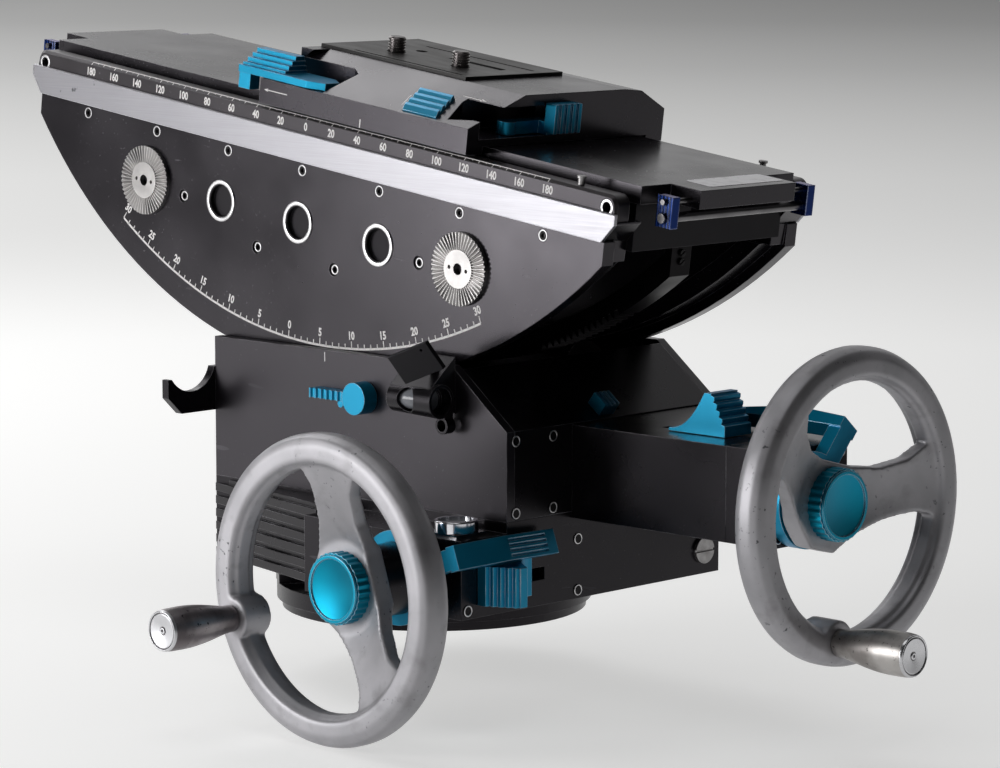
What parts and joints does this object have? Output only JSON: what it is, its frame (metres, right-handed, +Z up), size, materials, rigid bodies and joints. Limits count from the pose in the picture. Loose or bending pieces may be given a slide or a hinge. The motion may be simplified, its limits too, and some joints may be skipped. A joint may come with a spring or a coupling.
{
  "type": "geared tripod head",
  "caption": "Geared camera head: rocking cradle with a sliding camera plate on a turning body; handwheels with crank handles, levels and levers.",
  "frame": {"origin": "pan axis in the underside of the base", "axes": "+Z up along the pan axis, +X to the rear, where the operator stands, +Y to the right side of the head"},
  "size_m": [0.6292, 0.32, 0.3473],
  "materials": {
    "black_anodised": "satin black anodised",
    "black_cast": "satin black paint",
    "brushed_rail": "brushed, cross grain",
    "cast_aluminium": "satin, handled",
    "blue_anodised": "satin cyan anodised",
    "dark_blue_anodised": "satin blue anodised",
    "steel": "turned",
    "white_ring": "satin",
    "chrome": "polished",
    "vial": "clear",
    "rubber": "matt"
  },
  "bodies": {
    "base": {"base_plate": "black_anodised", "pan_bearing": "steel", "pan_scale_ring": "cast_aluminium", "pan_ring_gear": "steel"},
    "turning_body": {"pan_housing": "black_cast", "body_plate_left": "black_anodised", "body_plate_right": "black_anodised", "front_cover": "black_anodised", "rear_cover": "black_anodised", "ribbed_cover": "black_cast", "tilt_gear_case": "black_anodised", "tilt_case_end": "black_anodised", "wheel_barrels": "black_anodised", "wheel_hook": "black_anodised", "body_screws": "steel", "level_tube": "black_anodised", "level_vials": "vial", "round_level": "chrome"},
    "cradle": {"cradle_plate_left": "black_anodised", "cradle_plate_right": "black_anodised", "side_rails": "brushed_rail", "scale_strips": "black_anodised", "slide_bed": "black_anodised", "cross_members": "black_anodised", "tilt_sector": "steel", "rosettes": "cast_aluminium", "cradle_screws": "white_ring", "catch_rods": "steel"},
    "carriage": {"camera_block": "black_anodised", "slide_gibs": "steel", "rubber_pad": "rubber"},
    "front_roller": {"front_roller": "steel"},
    "rear_roller": {"rear_roller": "steel"},
    "tilt_drive_gear": {"tilt_drive_gear": "steel"},
    "tilt_wheel": {"tilt_wheel_shaft": "steel", "tilt_handwheel": "cast_aluminium", "tilt_wheel_knob": "blue_anodised"},
    "tilt_crank": {"tilt_crank_handle": "cast_aluminium"},
    "pan_drive_gear": {"pan_drive_gear": "steel"},
    "pan_layshaft": {"pan_layshaft": "steel"},
    "pan_wheel": {"pan_wheel_shaft": "steel", "pan_handwheel": "cast_aluminium", "pan_wheel_knob": "blue_anodised"},
    "pan_crank": {"pan_crank_handle": "cast_aluminium"},
    "tilt_lock_lever": {"tilt_lock_lever": "blue_anodised"},
    "level_mirror": {"level_mirror": "black_anodised"},
    "rear_slider": {"rear_slider": "blue_anodised"},
    "tilt_gear_selector": {"tilt_gear_selector": "blue_anodised"},
    "pan_gear_selector": {"pan_gear_selector": "blue_anodised"},
    "tilt_release_lever": {"tilt_release_lever": "blue_anodised"},
    "pan_release_lever": {"pan_release_lever": "blue_anodised"},
    "catch_front_left": {"catch_front_left": "dark_blue_anodised"},
    "catch_front_right": {"catch_front_right": "dark_blue_anodised"},
    "catch_rear_left": {"catch_rear_left": "dark_blue_anodised"},
    "catch_rear_right": {"catch_rear_right": "dark_blue_anodised"},
    "camera_screw_front": {"camera_screw_front": "steel"},
    "camera_screw_rear": {"camera_screw_rear": "steel"},
    "slide_lock_lever": {"slide_lock_lever": "blue_anodised"},
    "safety_button": {"safety_button": "blue_anodised"},
    "release_lever": {"release_lever": "blue_anodised"}
  },
  "joints": [
    {"name": "pan", "type": "hinge", "parent": "base", "child": "turning_body", "pos_m": [0, 0, 0], "axis": [0, 0, 1], "continuous": true},
    {"name": "tilt", "type": "hinge", "parent": "turning_body", "child": "cradle", "pos_m": [0, 0, 0.4337], "axis": [0, 1, 0], "range_deg": [-37.36, 22.64]},
    {"name": "front_roller_spin", "type": "hinge", "parent": "turning_body", "child": "front_roller", "pos_m": [-0.0645, 0, 0.13018], "axis": [0, 1, 0], "range_deg": [-416.51, 686.99]},
    {"name": "rear_roller_spin", "type": "hinge", "parent": "turning_body", "child": "rear_roller", "pos_m": [0.0645, 0, 0.13018], "axis": [0, 1, 0], "range_deg": [-416.51, 686.99]},
    {"name": "tilt_gear_spin", "type": "hinge", "parent": "turning_body", "child": "tilt_drive_gear", "pos_m": [-0.0185, 0, 0.0907], "axis": [0, 1, 0], "range_deg": [-145.1, 239.12]},
    {"name": "tilt_wheel_spin", "type": "hinge", "parent": "turning_body", "child": "tilt_wheel", "pos_m": [0.2716, -0.0137, 0.0907], "axis": [1, 0, 0], "range_deg": [-434.31, 716.37]},
    {"name": "pan_drive_gear_spin", "type": "hinge", "parent": "turning_body", "child": "pan_drive_gear", "pos_m": [0.083, -0.02608, 0.0442], "axis": [0, 0, 1], "continuous": true},
    {"name": "pan_layshaft_spin", "type": "hinge", "parent": "turning_body", "child": "pan_layshaft", "pos_m": [0.083, -0.095, 0.0442], "axis": [0, 1, 0], "continuous": true},
    {"name": "pan_wheel_spin", "type": "hinge", "parent": "turning_body", "child": "pan_wheel", "pos_m": [0.104, -0.186, 0.0442], "axis": [0, 1, 0], "continuous": true},
    {"name": "tilt_crank_spin", "type": "hinge", "parent": "tilt_wheel", "child": "tilt_crank", "pos_m": [0.3135, -0.03104, 0.02598], "axis": [1, 0, 0], "continuous": true},
    {"name": "pan_crank_spin", "type": "hinge", "parent": "pan_wheel", "child": "pan_crank", "pos_m": [0.04065, -0.186, 0.02239], "axis": [0, -1, 0], "continuous": true},
    {"name": "tilt_lock", "type": "hinge", "parent": "turning_body", "child": "tilt_lock_lever", "pos_m": [0.032, -0.0819, 0.1252], "axis": [0, 1, 0], "range_deg": [0, 40]},
    {"name": "mirror_swing", "type": "hinge", "parent": "turning_body", "child": "level_mirror", "pos_m": [0.09, -0.0945, 0.148], "axis": [0, 1, 0], "range_deg": [-10, 15]},
    {"name": "slider_shift", "type": "slide", "parent": "turning_body", "child": "rear_slider", "axis": [0, 1, 0], "range_m": [0, 0.01]},
    {"name": "tilt_gear_select", "type": "slide", "parent": "turning_body", "child": "tilt_gear_selector", "axis": [-1, 0, 0], "range_m": [0, 0.012]},
    {"name": "pan_gear_select", "type": "slide", "parent": "turning_body", "child": "pan_gear_selector", "axis": [0, 1, 0], "range_m": [0, 0.012]},
    {"name": "tilt_release", "type": "hinge", "parent": "turning_body", "child": "tilt_release_lever", "pos_m": [0.2716, -0.0137, 0.0907], "axis": [1, 0, 0], "range_deg": [0, 4]},
    {"name": "pan_release", "type": "hinge", "parent": "turning_body", "child": "pan_release_lever", "pos_m": [0.104, -0.115, 0.0442], "axis": [0, -1, 0], "range_deg": [0, 8]},
    {"name": "catch_front_left_press", "type": "slide", "parent": "cradle", "child": "catch_front_left", "axis": [0, 1, 0], "range_m": [0, 0.008], "stiffness_N_per_m": 300, "springref_m": -0.004},
    {"name": "catch_front_right_press", "type": "slide", "parent": "cradle", "child": "catch_front_right", "axis": [0, -1, 0], "range_m": [0, 0.008], "stiffness_N_per_m": 300, "springref_m": -0.004},
    {"name": "catch_rear_left_press", "type": "slide", "parent": "cradle", "child": "catch_rear_left", "axis": [0, 1, 0], "range_m": [0, 0.008], "stiffness_N_per_m": 300, "springref_m": -0.004},
    {"name": "catch_rear_right_press", "type": "slide", "parent": "cradle", "child": "catch_rear_right", "axis": [0, -1, 0], "range_m": [0, 0.008], "stiffness_N_per_m": 300, "springref_m": -0.004},
    {"name": "camera_slide", "type": "slide", "parent": "cradle", "child": "carriage", "axis": [0.9918, 0, -0.1281], "range_m": [-0.1582, 0.075]},
    {"name": "camera_screw_front_spin", "type": "hinge", "parent": "carriage", "child": "camera_screw_front", "pos_m": [-0.02111, -0.0075, 0.30151], "axis": [0.1281, 0, 0.9918], "continuous": true},
    {"name": "camera_screw_rear_spin", "type": "hinge", "parent": "carriage", "child": "camera_screw_rear", "pos_m": [0.02798, -0.0075, 0.29517], "axis": [0.1281, 0, 0.9918], "continuous": true},
    {"name": "slide_lock", "type": "hinge", "parent": "carriage", "child": "slide_lock_lever", "pos_m": [-0.0162, -0.062, 0.28485], "axis": [0.1281, 0, 0.9918], "range_deg": [0, 22]},
    {"name": "release_swing", "type": "hinge", "parent": "carriage", "child": "release_lever", "pos_m": [0.09259, -0.038, 0.2708], "axis": [-0.1281, 0, -0.9918], "range_deg": [0, 22], "stiffness_Nm_per_rad": 0.4, "springref_deg": -20.05},
    {"name": "safety_press", "type": "slide", "parent": "carriage", "child": "safety_button", "axis": [-0.1194, 0.3616, -0.9247], "range_m": [0, 0.0025], "stiffness_N_per_m": 400, "springref_m": -0.004}
  ],
  "couplings": [
    {"joint": "front_roller_spin", "follows": "tilt", "ratio": -18.375},
    {"joint": "rear_roller_spin", "follows": "tilt", "ratio": -18.375},
    {"joint": "tilt_gear_spin", "follows": "tilt", "ratio": -6.3871},
    {"joint": "tilt_wheel_spin", "follows": "tilt", "ratio": -19.161},
    {"joint": "pan_drive_gear_spin", "follows": "pan", "ratio": 6.25},
    {"joint": "pan_layshaft_spin", "follows": "pan", "ratio": 18.75},
    {"joint": "pan_wheel_spin", "follows": "pan", "ratio": -37.5}
  ]
}
